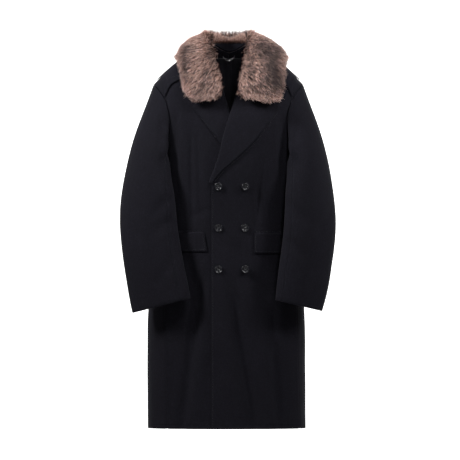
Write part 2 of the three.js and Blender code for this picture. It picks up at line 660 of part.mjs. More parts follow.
// Collar stand, on the neckline from one side of the neck round the back to the other
function collarStand() {
  const endAngle = 112;
  const rise = 2.5;
  const lean = 3;
  const angles = steps(-endAngle, endAngle, 20);
  const make = (depth) => [0, 0.5, 1].map((up) => angles.map((angle) => {
    const foot = neckline(angle);
    const normal = normalAt(foot);
    const inwards = vec(-(foot.x - section(0).centre), -foot.y, 0).normalize();
    const shoulder = foot.clone().addScaledVector(normal, -depth);
    const risen = foot.clone().addScaledVector(inwards, depth + lean * up);
    const p = up === 0 ? shoulder : risen;
    const height = mix(STAND_HEIGHT, STAND_HEIGHT_SIDE, smooth(Math.abs(angle), 10, 80));
    p.z += rise + up * height;
    return p;
  }));
  wall('collar_stand', wool(), make(0), make(CLOTH));
}

// Back lining where it shows through the neck, with a pleat down its middle
function backLining() {
  const pleat = 8.5;
  const edge = 118;
  const offsets = [-edge, -94, -68, -40, -pleat - 1.5, -pleat, 0, pleat, pleat + 1.5, 40, 68, 94, edge];
  const rows = [0, 0.06, 0.16, 0.3, 0.48, 0.7, 1];
  const bottom = -430;
  const topShare = 0.75;
  const place = (row, offset, off) => {
    const topX = offset * topShare;
    const topZ = Math.min(-34, shoulderZ(clamp(Math.abs(topX) + 34, NECK_X, SHOULDER_X)) - 22);
    const z = mix(topZ, bottom, row);
    const x = section(z).centre + mix(topX, offset, Math.sqrt(row));
    const raised = Math.abs(offset) <= pleat ? PLEAT_RISE : 0;
    return onPanel(x, z, false, off - CLOTH - LINING_EASE - raised);
  };
  panel('lining_back', liningCloth, rows, offsets, place, LINING);
}

// Fur collar: a thick pad whose surface is where the fur's tips reach
function furCollar() {
  const clearFront = 12;
  const clearBack = 5.4;
  const under = [0.04, 0.3, 0.55, 0.8, 0.97];
  const over = [
    { at: 1.02, high: 0.3 }, { at: 0.98, high: 0.62 }, { at: 0.84, high: 0.9 }, { at: 0.62, high: 1 },
    { at: 0.38, high: 1 }, { at: 0.16, high: 0.92 }, { at: 0, high: 0.72 }, { at: -0.08, high: 0.36 },
  ];
  const last = FUR_STATIONS.length - 1;
  const station = (s) => {
    const i = Math.min(Math.floor(s), last - 1);
    const before = FUR_STATIONS[i];
    const after = FUR_STATIONS[i + 1];
    return Object.fromEntries(Object.keys(before).map((key) => [key, mix(before[key], after[key], s - i)]));
  };
  const ring = (s, sign) => {
    const row = station(s);
    const shift = mix(FUR_SHIFT.front, FUR_SHIFT.back, smooth(s, 2, 6));
    const clear = mix(clearFront, clearBack, smooth(s, 2, 4.5));
    const inner = vec(shift + sign * row.inX, row.inY, row.inZ);
    const outer = vec(shift + sign * row.outX, row.outY, row.outZ);
    const on = (at) => inner.clone().lerp(outer, at);
    const upwards = vec(0, 0, 1);
    const below = under.map((at) => lift(on(at), clear, true));
    const above = over.map(({ at, high }) => {
      const foot = lift(on(clamp(at, 0.02, 0.98)), clear, true);
      const normal = normalAt(foot);
      const lean = clamp((0.75 - at) * smooth(s, 2.5, 5) * 1.3, 0, 1);
      const way = normal.lerp(upwards, lean).normalize();
      const slide = outer.clone().sub(inner).multiplyScalar(at - clamp(at, 0.02, 0.98));
      return foot.add(slide).addScaledVector(way, row.height * high);
    });
    return [...below, ...above];
  };
  const half = [0, 0.5, 1, 1.5, 2, 2.5, 3, 3.5, 4, 4.4, 4.8, 5.2, 5.6, 6, 6.5, 7, 7.5];
  const rings = [...half.map((s) => ring(s, -1)), ring(last, 1), ...half.map((s) => ring(s, 1)).reverse()];
  loft('collar_fur', fur, rings);
}

// Four-hole buttons, shown as plain dished discs, on the fastened front
function button(name, x, z) {
  const dish = 1.1;
  const rim = 2.2;
  const profile = [
    [0, 0], [BUTTON_RADIUS - 2, 0], [BUTTON_RADIUS, 1.3], [BUTTON_RADIUS, BUTTON_THICK - 1],
    [BUTTON_RADIUS - 1, BUTTON_THICK], [BUTTON_RADIUS - rim, BUTTON_THICK],
    [BUTTON_RADIUS - rim - 1, BUTTON_THICK - dish], [0, BUTTON_THICK - dish],
  ];
  const shape = new THREE.LatheGeometry(profile.map(([r, y]) => new THREE.Vector2(r, y)), 14);
  const mesh = new THREE.Mesh(shape, horn);
  const foot = onPanel(x, z, true, leftFrontLift(x, z) + SEAM);
  const normal = normalAt(vec(x, depthAt(x, z, true), z));
  mesh.name = name;
  mesh.position.copy(foot);
  mesh.quaternion.setFromUnitVectors(vec(0, 1, 0), normal);
  coat.add(mesh);
}

// Hanger chain: a short sagging chain, as one thick cord, between two small plates in the neck seam
function hangerChain() {
  const ends = { left: -15.4, right: 18.8, z: -26, sag: 12, radius: 1.1 };
  const clear = 1.2;
  const inside = CLOTH + LINING_EASE + LINING + PLEAT_RISE + clear;
  const sides = 6;
  const rings = steps(0, 1, 12).map((t) => {
    const x = mix(ends.left, ends.right, t);
    const z = ends.z - ends.sag * (1 - (2 * t - 1) ** 2);
    const middle = onPanel(x, z, false, -inside - ends.radius);
    const slope = Math.atan2(-ends.sag * -4 * (2 * t - 1), ends.right - ends.left);
    return Array.from({ length: sides }, (_, i) => {
      const a = (2 * Math.PI * i) / sides;
      const across = vec(-Math.sin(slope), 0, Math.cos(slope));
      const raised = middle.clone().addScaledVector(across, ends.radius * Math.cos(a));
      return raised.add(vec(0, ends.radius * Math.sin(a), 0));
    });
  });
  loft('hanger_chain', steel, rings);
}

for (const side of ['right', 'left']) {
  frontPanel(side);
  lapel(side);
  sidePanel(side);
  backPanel(side);
  sleeve(side);
  epaulette(side);
}
ventUnderlap();
FLAPS.forEach(flap);
collarStand();
backLining();
furCollar();
hangerChain();
BUTTON_ROWS.forEach((z, row) => {
  BUTTON_COLUMNS.forEach((x, column) => button(`button_${row * BUTTON_COLUMNS.length + column + 1}`, x, z));
});

export default coat;
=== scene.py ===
import bpy
import bmesh
import math
import numpy as np
from mathutils import Matrix, Vector
from mathutils.bvhtree import BVHTree
from mathutils.kdtree import KDTree


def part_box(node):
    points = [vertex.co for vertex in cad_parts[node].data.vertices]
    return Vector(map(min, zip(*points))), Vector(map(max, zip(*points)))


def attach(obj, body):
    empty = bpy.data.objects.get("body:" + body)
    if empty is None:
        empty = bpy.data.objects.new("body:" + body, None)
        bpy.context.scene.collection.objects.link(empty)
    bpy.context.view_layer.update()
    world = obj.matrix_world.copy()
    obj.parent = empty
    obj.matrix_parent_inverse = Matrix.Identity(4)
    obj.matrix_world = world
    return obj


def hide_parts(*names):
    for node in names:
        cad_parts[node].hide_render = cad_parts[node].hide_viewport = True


# A long black wool military coat with a fur collar, hollow as if worn. Metres, +Z up, front at -Y.

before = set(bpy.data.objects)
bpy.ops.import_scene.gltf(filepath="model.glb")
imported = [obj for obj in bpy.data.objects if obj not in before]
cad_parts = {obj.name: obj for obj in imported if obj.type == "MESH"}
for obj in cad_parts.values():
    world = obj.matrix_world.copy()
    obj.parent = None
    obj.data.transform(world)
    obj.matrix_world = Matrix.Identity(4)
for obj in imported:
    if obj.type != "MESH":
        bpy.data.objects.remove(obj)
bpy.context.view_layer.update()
scene = bpy.context.scene

# The photograph's frame and scale
IMAGE_PX = 460
METRES_PER_PX = 0.00285
MIDDLE_X_PX = 228.0
ORIGIN_Y_PX = 44.0
FOCUS_Y = -0.06            # depth of the plane on which that scale holds
CAMERA_DISTANCE = 18.0
SENSOR_MM = 36.0

FLOOR_Z = -1.27

# The cut of the wool, estimated from the solids and the scale, in metres
WOOL_PIECES = {
    # node: flat width, flat length, cut area as a share of their product, and how it is held
    "front_left": (0.34, 1.13, 0.86, "hung"),
    "front_right": (0.36, 1.13, 0.86, "hung"),
    "side_left": (0.20, 0.79, 0.86, "hung"),
    "side_right": (0.22, 0.79, 0.88, "hung"),
    "back_left": (0.27, 1.12, 0.84, "hung"),
    "back_right": (0.27, 1.12, 0.84, "hung"),
    "vent_underlap": (0.049, 0.404, 1.0, "hung"),
    "sleeve_left_top": (0.27, 0.70, 0.88, "hung"),
    "sleeve_left_under": (0.20, 0.56, 0.80, "hung"),
    "sleeve_right_top": (0.28, 0.70, 0.88, "hung"),
    "sleeve_right_under": (0.20, 0.56, 0.80, "hung"),
    "lapel_left": (0.17, 0.33, 0.55, "folded"),
    "lapel_right": (0.12, 0.33, 0.55, "folded"),
    "epaulette_left": (0.105, 0.105, 0.95, "laid"),
    "epaulette_right": (0.105, 0.105, 0.95, "laid"),
    "flap_left": (0.165, 0.060, 1.0, "hung"),
    "flap_right": (0.155, 0.057, 1.0, "hung"),
    "collar_stand": (0.27, 0.030, 0.8, "draped"),
}


def link(obj):
    scene.collection.objects.link(obj)
    return obj


def place_camera():
    data = bpy.data.cameras.new("camera")
    data.sensor_width = SENSOR_MM
    frame_width = IMAGE_PX * METRES_PER_PX
    data.lens = SENSOR_MM * CAMERA_DISTANCE / frame_width
    data.clip_end = 60
    camera = link(bpy.data.objects.new("camera", data))
    across = (IMAGE_PX / 2 - MIDDLE_X_PX) * METRES_PER_PX
    height = (ORIGIN_Y_PX - IMAGE_PX / 2) * METRES_PER_PX
    camera.location = (across, FOCUS_Y - CAMERA_DISTANCE, height)
    camera.rotation_euler = (math.radians(90), 0, 0)
    scene.camera = camera


def area_light(name, where, target, size, power, spread=180):
    data = bpy.data.lights.new(name, "AREA")
    data.spread = math.radians(spread)
    data.shape = "RECTANGLE"
    data.size, data.size_y = size
    data.energy = power
    light = link(bpy.data.objects.new(name, data))
    light.location = where
    light.rotation_euler = (Vector(target) - Vector(where)).to_track_quat("-Z", "Y").to_euler()


def light_studio():
    chest = (0, 0, -0.25)
    area_light("left_box", (-2.2, -1.1, 1.25), chest, (0.5, 0.9), 17, spread=52)
    area_light("right_box", (2.3, -0.85, 1.00), chest, (0.5, 0.9), 10, spread=60)
    area_light("front_box", (0.8, -2.1, 1.90), chest, (0.7, 0.5), 7, spread=50)
    area_light("back_box", (0.5, 2.4, 1.3), chest, (1.6, 1.2), 42)
    world = bpy.data.worlds.new("studio")
    world.use_nodes = True
    background = world.node_tree.nodes["Background"]
    background.inputs["Color"].default_value = (1, 1, 1, 1)
    background.inputs["Strength"].default_value = 0.13
    scene.world = world
    scene.view_settings.view_transform = "Standard"


def node_material(name):
    material = bpy.data.materials.new(name)
    material.use_nodes = True
    tree = material.node_tree
    shader = tree.nodes["Principled BSDF"]
    return material, tree, shader


def add_node(tree, kind, **values):
    node = tree.nodes.new(kind)
    for key, value in values.items():
        if key in node.inputs:
            node.inputs[key].default_value = value
        else:
            setattr(node, key, value)
    return node


def noise(tree, coords, scale, detail=3.0, roughness=0.5, stretch=None):
    source = coords.outputs["Object"]
    if stretch:
        mapping = add_node(tree, "ShaderNodeMapping", Scale=stretch)
        tree.links.new(source, mapping.inputs["Vector"])
        source = mapping.outputs["Vector"]
    node = add_node(tree, "ShaderNodeTexNoise", Scale=scale, Detail=detail, Roughness=roughness)
    tree.links.new(source, node.inputs["Vector"])
    return node


def ramp(tree, source, stops):
    node = tree.nodes.new("ShaderNodeValToRGB")
    elements = node.color_ramp.elements
    for i, (at, colour) in enumerate(stops):
        element = elements[i] if i < len(elements) else elements.new(at)
        element.position = at
        element.color = (*colour, 1)
    tree.links.new(source, node.inputs["Fac"])
    return node


def bump(tree, shader, layers):
    """Stacks bumps, each a (height socket, strength, distance)."""
    before = None
    for socket, strength, distance in layers:
        node = add_node(tree, "ShaderNodeBump", Strength=strength, Distance=distance)
        tree.links.new(socket, node.inputs["Height"])
        if before:
            tree.links.new(before.outputs["Normal"], node.inputs["Normal"])
        before = node
    tree.links.new(before.outputs["Normal"], shader.inputs["Normal"])


def melton():
    """Black felted wool: a short nap in matted flecks over a hidden weave."""
    material, tree, shader = node_material("melton_wool")
    coords = tree.nodes.new("ShaderNodeTexCoord")
    felt = noise(tree, coords, 260, 4, 0.65)
    nap = noise(tree, coords, 1500, 2, 0.6, (1, 1, 0.45))
    drift = noise(tree, coords, 7, 3, 0.55)
    colour = ramp(tree, felt.outputs["Fac"], [
        (0.25, (0.0029, 0.0028, 0.0041)), (0.55, (0.0050, 0.0048, 0.0071)), (0.85, (0.0102, 0.0097, 0.0144)),
    ])
    shade = add_node(tree, "ShaderNodeMix", data_type="RGBA", blend_type="MULTIPLY")
    shade.inputs["Factor"].default_value = 0.35
    tree.links.new(colour.outputs["Color"], shade.inputs["A"])
    tree.links.new(drift.outputs["Fac"], shade.inputs["B"])
    tree.links.new(shade.outputs["Result"], shader.inputs["Base Color"])
    rough = add_node(tree, "ShaderNodeMapRange")
    rough.inputs["To Min"].default_value = 0.82
    rough.inputs["To Max"].default_value = 1.0
    tree.links.new(drift.outputs["Fac"], rough.inputs["Value"])
    tree.links.new(rough.outputs["Result"], shader.inputs["Roughness"])
    shader.inputs["Specular IOR Level"].default_value = 0.05
    shader.inputs["Sheen Weight"].default_value = 0.020
    shader.inputs["Sheen Roughness"].default_value = 0.35
    shader.inputs["Sheen Tint"].default_value = (0.72, 0.70, 0.80, 1)
    bump(tree, shader, [(felt.outputs["Fac"], 0.35, 0.0009), (nap.outputs["Fac"], 0.4, 0.0004)])
    return material


def satin():
    material, tree, shader = node_material("lining_satin")
    coords = tree.nodes.new("ShaderNodeTexCoord")
    twill = add_node(tree, "ShaderNodeTexWave", Scale=420, Distortion=0.4)
    turned = add_node(tree, "ShaderNodeMapping", Rotation=(0, math.radians(52), 0))
    tree.links.new(coords.outputs["Object"], turned.inputs["Vector"])
    tree.links.new(turned.outputs["Vector"], twill.inputs["Vector"])
    slub = noise(tree, coords, 30, 3, 0.5, (1, 1, 0.15))
    colour = ramp(tree, slub.outputs["Fac"], [(0.3, (0.0035, 0.0032, 0.0048)), (0.75, (0.008, 0.0075, 0.0105))])
    tree.links.new(colour.outputs["Color"], shader.inputs["Base Color"])
    shader.inputs["Roughness"].default_value = 0.46
    shader.inputs["Specular IOR Level"].default_value = 0.2
    bump(tree, shader, [(twill.outputs["Fac"], 0.12, 0.0002), (slub.outputs["Fac"], 0.25, 0.0012)])
    return material


def horn():
    material, tree, shader = node_material("button_horn")
    coords = tree.nodes.new("ShaderNodeTexCoord")
    cloud = noise(tree, coords, 140, 5, 0.6, (1, 1, 2.4))
    colour = ramp(tree, cloud.outputs["Fac"], [
        (0.3, (0.003, 0.003, 0.004)), (0.6, (0.006, 0.006, 0.008)), (0.8, (0.019, 0.018, 0.021)),
    ])
    tree.links.new(colour.outputs["Color"], shader.inputs["Base Color"])
    shader.inputs["Roughness"].default_value = 0.26
    shader.inputs["Specular IOR Level"].default_value = 0.22
    scratch = noise(tree, coords, 900, 2, 0.5)
    bump(tree, shader, [(scratch.outputs["Fac"], 0.06, 0.0002)])
    return material


def thread():
    material, tree, shader = node_material("button_thread")
    coords = tree.nodes.new("ShaderNodeTexCoord")
    twist = add_node(tree, "ShaderNodeTexWave", Scale=900)
    tree.links.new(coords.outputs["Object"], twist.inputs["Vector"])
    colour = ramp(tree, twist.outputs["Fac"], [(0, (0.003, 0.003, 0.004)), (1, (0.010, 0.010, 0.012))])
    tree.links.new(colour.outputs["Color"], shader.inputs["Base Color"])
    shader.inputs["Roughness"].default_value = 0.7
    bump(tree, shader, [(twist.outputs["Fac"], 0.3, 0.0002)])
    return material


def polished_steel():
    material, tree, shader = node_material("chain_steel")
    coords = tree.nodes.new("ShaderNodeTexCoord")
    smear = noise(tree, coords, 300, 3, 0.5)
    colour = ramp(tree, smear.outputs["Fac"], [(0.3, (0.62, 0.62, 0.64)), (0.7, (0.86, 0.86, 0.88))])
    tree.links.new(colour.outputs["Color"], shader.inputs["Base Color"])
    shader.inputs["Metallic"].default_value = 1.0
    shader.inputs["Roughness"].default_value = 0.22
    bump(tree, shader, [(smear.outputs["Fac"], 0.05, 0.0002)])
    return material


def fur_material():
    """Hair colour from root to tip, between a light and a dark kind that each hair carries."""
    material, tree, shader = node_material("fur_hair")
    coords = tree.nodes.new("ShaderNodeTexCoord")
    hair = add_node(tree, "ShaderNodeAttribute", attribute_name="hair")
    parts = tree.nodes.new("ShaderNodeSeparateColor")
    tree.links.new(hair.outputs["Color"], parts.inputs["Color"])
    light = ramp(tree, parts.outputs["Red"], [
        (0.0, (0.010, 0.006, 0.005)), (0.35, (0.050, 0.026, 0.021)), (0.62, (0.200, 0.108, 0.086)),
        (0.84, (0.420, 0.280, 0.240)), (1.0, (0.760, 0.630, 0.590)),
    ])
    dark = ramp(tree, parts.outputs["Red"], [
        (0.0, (0.005, 0.003, 0.004)), (0.45, (0.010, 0.007, 0.007)), (0.76, (0.028, 0.018, 0.018)),
        (0.93, (0.100, 0.070, 0.066)), (1.0, (0.260, 0.200, 0.190)),
    ])
    drift = noise(tree, coords, 60, 3, 0.6)
    shift = add_node(tree, "ShaderNodeMath", operation="MULTIPLY_ADD")
    shift.inputs[1].default_value = 0.9
    shift.inputs[2].default_value = -0.45
    tree.links.new(drift.outputs["Fac"], shift.inputs[0])
    both = add_node(tree, "ShaderNodeMath", operation="ADD", use_clamp=True)
    tree.links.new(parts.outputs["Blue"], both.inputs[0])
    tree.links.new(shift.outputs["Value"], both.inputs[1])
    blend = add_node(tree, "ShaderNodeMix", data_type="RGBA")
    tree.links.new(both.outputs["Value"], blend.inputs["Factor"])
    tree.links.new(light.outputs["Color"], blend.inputs["A"])
    tree.links.new(dark.outputs["Color"], blend.inputs["B"])
    vary = add_node(tree, "ShaderNodeHueSaturation", Hue=0.5, Saturation=1.08)
    bright = add_node(tree, "ShaderNodeMapRange")
    bright.inputs["To Min"].default_value = 0.35
    bright.inputs["To Max"].default_value = 2.10
    tree.links.new(parts.outputs["Green"], bright.inputs["Value"])
    tree.links.new(bright.outputs["Result"], vary.inputs["Value"])
    tree.links.new(blend.outputs["Result"], vary.inputs["Color"])
    tree.links.new(vary.outputs["Color"], shader.inputs["Base Color"])
    shader.inputs["Roughness"].default_value = 0.6
    shader.inputs["Specular IOR Level"].default_value = 0.25
    return material


def add_piece(name, mesh, material, slot, *nodes):
    piece = link(bpy.data.objects.new(name, mesh))
    mesh.materials.clear()
    mesh.materials.append(material)
    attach(piece, "root")
    if nodes:
        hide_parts(*nodes)
    return piece


def fine_copy(node, levels):
    """A copy of a CAD node's mesh as quads, subdivided with its rims kept crisp."""
    sharp_angle = math.radians(50)
    rim_crease = 0.97
    bm = bmesh.new()
    bm.from_mesh(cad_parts[node].data)
    bmesh.ops.remove_doubles(bm, verts=bm.verts, dist=0.00002)
    bmesh.ops.join_triangles(
        bm, faces=bm.faces, angle_face_threshold=0.9, angle_shape_threshold=1.4,
    )
    crease = bm.edges.layers.float.new("crease_edge")
    for edge in bm.edges:
        if len(edge.link_faces) == 2 and edge.calc_face_angle() > sharp_angle:
            edge[crease] = rim_crease
    mesh = bpy.data.meshes.new(node)
    bm.to_mesh(mesh)
    bm.free()
    carrier = link(bpy.data.objects.new(node + "_carrier", mesh))
    modifier = carrier.modifiers.new("fine", "SUBSURF")
    modifier.levels = modifier.render_levels = levels
    depsgraph = bpy.context.evaluated_depsgraph_get()
    fine = bpy.data.meshes.new_from_object(carrier.evaluated_get(depsgraph))
    bpy.data.objects.remove(carrier)
    bpy.data.meshes.remove(mesh)
    fine.name = node + "_cloth"
    for polygon in fine.polygons:
        polygon.use_smooth = True
    return fine


def points_of(mesh):
    points = np.empty(len(mesh.vertices) * 3)
    mesh.vertices.foreach_get("co", points)
    return points.reshape(-1, 3)


def set_points(mesh, points):
    mesh.vertices.foreach_set("co", points.ravel())
    mesh.update()


# Fine creases, each a soft trough (or ridge, with a negative depth) between two points, in metres
BODY_CREASES = [
    # from x, y, z; to x, y, z; half width; depth
    ((-0.118, -0.12, -0.590), (-0.090, -0.12, -0.740), 0.022, 0.0080),
    ((-0.088, -0.12, -0.690), (-0.140, -0.12, -1.130), 0.018, 0.0165),
    ((0.008, -0.13, -0.680), (0.086, -0.13, -1.130), 0.017, 0.0155),
    ((0.122, -0.11, -0.720), (0.150, -0.11, -1.120), 0.017, 0.0060),
    ((-0.106, -0.11, -0.260), (-0.104, -0.11, -0.530), 0.0075, 0.0038),
    ((0.085, -0.12, -0.400), (0.086, -0.12, -0.530), 0.0070, 0.0034),
    ((0.030, -0.12, -0.560), (0.060, -0.12, -0.690), 0.018, 0.0030),
    ((-0.150, -0.10, -0.170), (-0.150, -0.10, -0.470), 0.012, 0.0053),
    ((-0.088, -0.12, -0.260), (-0.078, -0.12, -0.500), 0.010, 0.0033),
    ((0.150, -0.09, -0.180), (0.158, -0.09, -0.420), 0.013, 0.0053),
    ((0.098, -0.11, -0.300), (0.078, -0.12, -0.540), 0.008, 0.0037),
    ((-0.048, -0.12, -0.470), (-0.140, -0.11, -0.500), 0.012, 0.0023),
    ((0.055, -0.12, -0.660), (0.150, -0.11, -0.760), 0.016, 0.0037),
    ((-0.070, -0.12, -0.660), (-0.120, -0.11, -0.860), 0.015, 0.0045),
    ((-0.060, -0.12, -0.900), (-0.075, -0.13, -1.120), 0.022, 0.0045),
    ((0.140, -0.11, -0.860), (0.155, -0.11, -1.120), 0.022, 0.0060),
    ((-0.090, 0.11, -0.240), (-0.040, 0.10, -0.420), 0.018, 0.0037),
    ((0.095, 0.11, -0.230), (0.050, 0.10, -0.430), 0.018, 0.0037),
    ((-0.150, 0.08, -0.480), (-0.060, 0.10, -0.520), 0.014, 0.0037),
    ((0.155, 0.08, -0.470), (0.070, 0.10, -0.530), 0.014, 0.0037),
    ((0.020, 0.12, -0.760), (0.045, 0.13, -1.120), 0.024, 0.0060),
    ((-0.150, 0.10, -0.720), (-0.165, 0.11, -1.120), 0.024, 0.0060),
]
SLEEVE_CREASES = {
    "right": [
        ((-0.190, -0.10, -0.190), (-0.185, -0.12, -0.360), 0.013, 0.0060),
        ((-0.158, -0.13, -0.430), (-0.225, -0.15, -0.500), 0.013, 0.0045),
        ((-0.150, -0.13, -0.500), (-0.235, -0.15, -0.545), 0.013, 0.0045),
        ((-0.300, -0.06, -0.480), (-0.245, -0.13, -0.560), 0.016, 0.0037),
        ((-0.150, -0.14, -0.600), (-0.200, -0.15, -0.690), 0.015, 0.0033),
        ((-0.235, -0.02, -0.420), (-0.270, -0.03, -0.520), 0.014, 0.0045),
        ((-0.225, -0.05, -0.520), (-0.285, -0.03, -0.560), 0.014, 0.0045),
    ],
    "left": [
        ((0.192, -0.10, -0.190), (0.190, -0.12, -0.370), 0.013, 0.0060),
        ((0.168, -0.12, -0.450), (0.235, -0.15, -0.520), 0.013, 0.0045),
        ((0.300, -0.06, -0.460), (0.250, -0.13, -0.540), 0.016, 0.0045),
        ((0.170, -0.14, -0.560), (0.225, -0.15, -0.610), 0.014, 0.0037),
        ((0.285, -0.06, -0.620), (0.230, -0.13, -0.700), 0.016, 0.0033),
        ((0.235, -0.02, -0.420), (0.272, -0.03, -0.520), 0.014, 0.0045),
        ((0.230, -0.05, -0.520), (0.285, -0.03, -0.560), 0.014, 0.0045),
    ],
}


def crease_depth(points, creases):
    """How deep the fine creases press at each point."""
    total = np.zeros(len(points))
    for start, end, width, depth in creases:
        a = np.array(start)
        along = np.array(end) - a
        t = (points - a) @ along / (along @ along)
        held = np.clip(t, -0.15, 1.15)
        gap = points - (a + held[:, None] * along)
        distance = np.linalg.norm(gap, axis=1)
        fade = np.clip((t + 0.15) / 0.4, 0, 1) * np.clip((1.15 - t) / 0.4, 0, 1)
        fade = fade * fade * (3 - 2 * fade)
        total += depth * fade * np.exp(-((distance / width) ** 2))
    return total


def body_way(points):
    """Level directions straight out of the body's rounded section."""
    half_width, half_depth = 0.215, 0.12
    way = np.stack([points[:, 0] / half_width**2, points[:, 1] / half_depth**2, np.zeros(len(points))], axis=1)
    return way / np.maximum(np.linalg.norm(way, axis=1), 1e-9)[:, None]


SLEEVE_AXIS = {
    # height, distance from the middle and depth of each sleeve's middle line
    "right": ((-0.12, 0.205, 0.0), (-0.33, 0.220, -0.044), (-0.516, 0.2265, -0.082), (-0.76, 0.186, -0.118)),
    "left": ((-0.12, 0.205, 0.0), (-0.33, 0.223, -0.044), (-0.516, 0.2345, -0.080), (-0.76, 0.199, -0.114)),
}


def sleeve_way(points, side):
    rows = np.array(SLEEVE_AXIS[side])[::-1]
    sign = 1 if side == "left" else -1
    x = sign * np.interp(points[:, 2], rows[:, 0], rows[:, 1])
    y = np.interp(points[:, 2], rows[:, 0], rows[:, 2])
    way = np.stack([points[:, 0] - x, points[:, 1] - y, np.zeros(len(points))], axis=1)
    return way / np.maximum(np.linalg.norm(way, axis=1), 1e-9)[:, None]


def armpit_drape(points):
    """Brings the front of a sleeve in over the foot of its armhole, along the body's surface."""
    way = body_way(points)
    across = -np.sign(points[:, 0]) * np.abs(way[:, 1])
    inwards = np.stack([across, -np.abs(way[:, 0]), np.zeros(len(points))], axis=1)
    near = np.exp(-(((points[:, 2] + 0.308) / 0.026) ** 2))
    in_front = np.clip((-0.035 - points[:, 1]) / 0.03, 0, 1)
    in_front *= np.clip((0.205 - np.abs(points[:, 0])) / 0.02, 0, 1)
    return (inwards * 0.010 + way * 0.0025) * (near * in_front)[:, None]


def slow_wave(points, size, seed):
    """Gentle unevenness of hanging wool, from a few fixed waves."""
    rng = np.random.default_rng(seed)
    total = np.zeros(len(points))
    for _ in range(5):
        way = rng.normal(size=3) * np.array([1.0, 1.0, 0.35])
        way /= np.linalg.norm(way)
        total += np.sin(points @ way * (2 * math.pi / size) * rng.uniform(0.7, 1.5) + rng.uniform(0, 6.3))
    return total / 5


def drawn_together(points, partner, reach=0.0022):
    """Closes a sewn seam: each rim point goes half way to the other piece's rim."""
    others = points_of(partner)
    finder = KDTree(len(others))
    for i, other in enumerate(others):
        finder.insert(other, i)
    finder.balance()
    moved = points.copy()
    for i, point in enumerate(points):
        near, _, distance = finder.find(point)
        if distance < reach:
            moved[i] += (np.array(near) - point) * 0.51
    return moved


SEWN_TO = {
    # body pieces and those whose rims they are drawn to; a finer front stays where it is
    "back_left": ("back_right", "side_left"), "back_right": ("back_left", "side_right"),
    "side_left": ("back_left", "front_left"), "side_right": ("back_right", "front_right"),
}


def cloth_piece(node, wool):
    mesh = fine_copy(node, 3 if node.startswith("front") else 2)
    points = points_of(mesh)
    if node.startswith("sleeve"):
        side = node.split("_")[1]
        partner = node.replace("top", "UNDER").replace("under", "top").replace("UNDER", "under")
        points = drawn_together(points, fine_copy(partner, 2))
        way = sleeve_way(points, side)
        press = crease_depth(points, SLEEVE_CREASES[side]) + 0.0008 * slow_wave(points, 0.12, 4)
        cap = np.clip((-0.16 - points[:, 2]) / 0.06, 0, 1)
        cuff = np.clip((points[:, 2] + 0.775) / 0.03, 0.4, 1)
        press *= cap * cuff
        points = points + armpit_drape(points)
    else:
        for partner in SEWN_TO.get(node, ()):
            points = drawn_together(points, fine_copy(partner, 2))
        way = body_way(points)
        press = crease_depth(points, BODY_CREASES) + 0.0009 * slow_wave(points, 0.16, 9)
        press *= np.clip((-0.12 - points[:, 2]) / 0.08, 0, 1)
    set_points(mesh, points - way * press[:, None])
    piece = add_piece(node + "_cloth", mesh, wool, "wool", node)
    return piece


def make_lining(lining):
    mesh = fine_copy("lining_back", 2)
    points = points_of(mesh)
    way = body_way(points)
    press = crease_depth(points, BODY_CREASES) + 0.0009 * slow_wave(points, 0.16, 9) + 0.001
    press *= np.clip((-0.12 - points[:, 2]) / 0.08, 0, 1)
    set_points(mesh, points - way * press[:, None])
    piece = add_piece("lining_back_cloth", mesh, lining, "lining", "lining_back")


# Rows of sewing, in millimetres: lines seen from the front (x, z), from behind (x, z) and from above (x, y)
FRONT_ROWS = [
    [(-43.0, -405), (-43.0, -700), (-43.0, -1090)],  # front edge
    [(-39, -397), (-28, -381), (-9, -358), (14, -340), (57, -303), (86, -272), (116, -232), (140, -198)],
    [(-27, -279), (-62, -230), (-92, -192)],  # right lapel
    [(79, -541), (79, -592), (140, -592), (196, -592)],  # left flap
    [(-73, -539), (-65, -587), (-130, -587), (-192, -587)],  # right flap
    [(74, -535), (140, -535), (190, -535)],  # left pocket mouth
    [(-66, -533), (-130, -533), (-186, -533)],  # right pocket mouth
]
BACK_ROWS = [
    [(4.5, -130), (3.0, -400), (1.5, -690)],  # centre back
    [(1.5, -690), (32, -704)],  # vent's top
    [(-36, -30), (36, -30)],
]
TOP_ROWS = [
    [(120, 8), (196, 5), (176, -62), (120, -80)],
    [(-120, 8), (-194, 5), (-174, -62), (-120, -80)],
]
STITCH_PITCH = 0.0046
STITCH_LENGTH = 0.0031
STITCH_HALF_WIDTH = 0.00030


def sewn_surface(pieces):
    """One search tree over all the finished cloth."""
    corners, faces = [], []
    for piece in pieces:
        start = len(corners)
        corners += [tuple(vertex.co) for vertex in piece.data.vertices]
        faces += [tuple(start + i for i in polygon.vertices) for polygon in piece.data.polygons]
    return BVHTree.FromPolygons(corners, faces)


def along_row(row, axes):
    """Places at a stitch's pitch along a line given in millimetres."""
    line = np.array(row, dtype=float) / 1000
    lengths = np.concatenate([[0], np.cumsum(np.linalg.norm(np.diff(line, axis=0), axis=1))])
    places = []
    for at in np.arange(STITCH_PITCH / 2, lengths[-1], STITCH_PITCH):
        point = [0.0, 0.0, 0.0]
        for k, axis in enumerate(axes):
            point[axis] = float(np.interp(at, lengths, line[:, k]))
        places.append(point)
    return places


